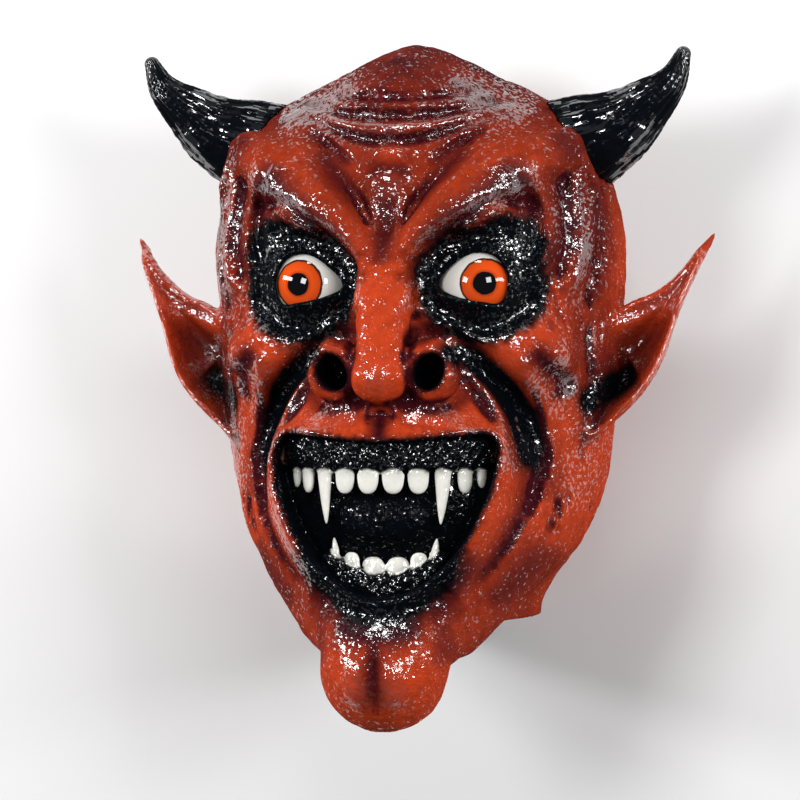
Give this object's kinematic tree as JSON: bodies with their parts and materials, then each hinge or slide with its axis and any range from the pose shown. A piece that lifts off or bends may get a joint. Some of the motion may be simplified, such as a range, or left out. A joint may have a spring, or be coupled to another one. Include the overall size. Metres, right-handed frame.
{
  "type": "devil mask",
  "caption": "Hollow full-head moulded latex devil mask with horns, long pointed ears, glaring eyes and a wide toothed grin, lying on its back",
  "frame": {"origin": "On the floor under the middle of the whole mask's box; the flat spot at the back of the head rests on the floor", "axes": "+X to the viewer's right of the face, +Y from the chin to the crown, +Z out of the face"},
  "size_m": [0.3278, 0.364, 0.2508],
  "materials": {
    "latex_skin": "glossy varnished latex, red-orange with maroon and black airbrushed hollows",
    "horn": "glossy black paint over grooved cast latex",
    "eye": "clear-coated dome with a painted orange iris",
    "teeth": "glossy ivory white"
  },
  "bodies": {
    "root": {"mask_skin": "latex_skin", "horn_left": "horn", "horn_right": "horn", "eye_left": "eye", "eye_right": "eye", "upper_teeth": "teeth", "lower_teeth": "teeth"}
  },
  "joints": []
}
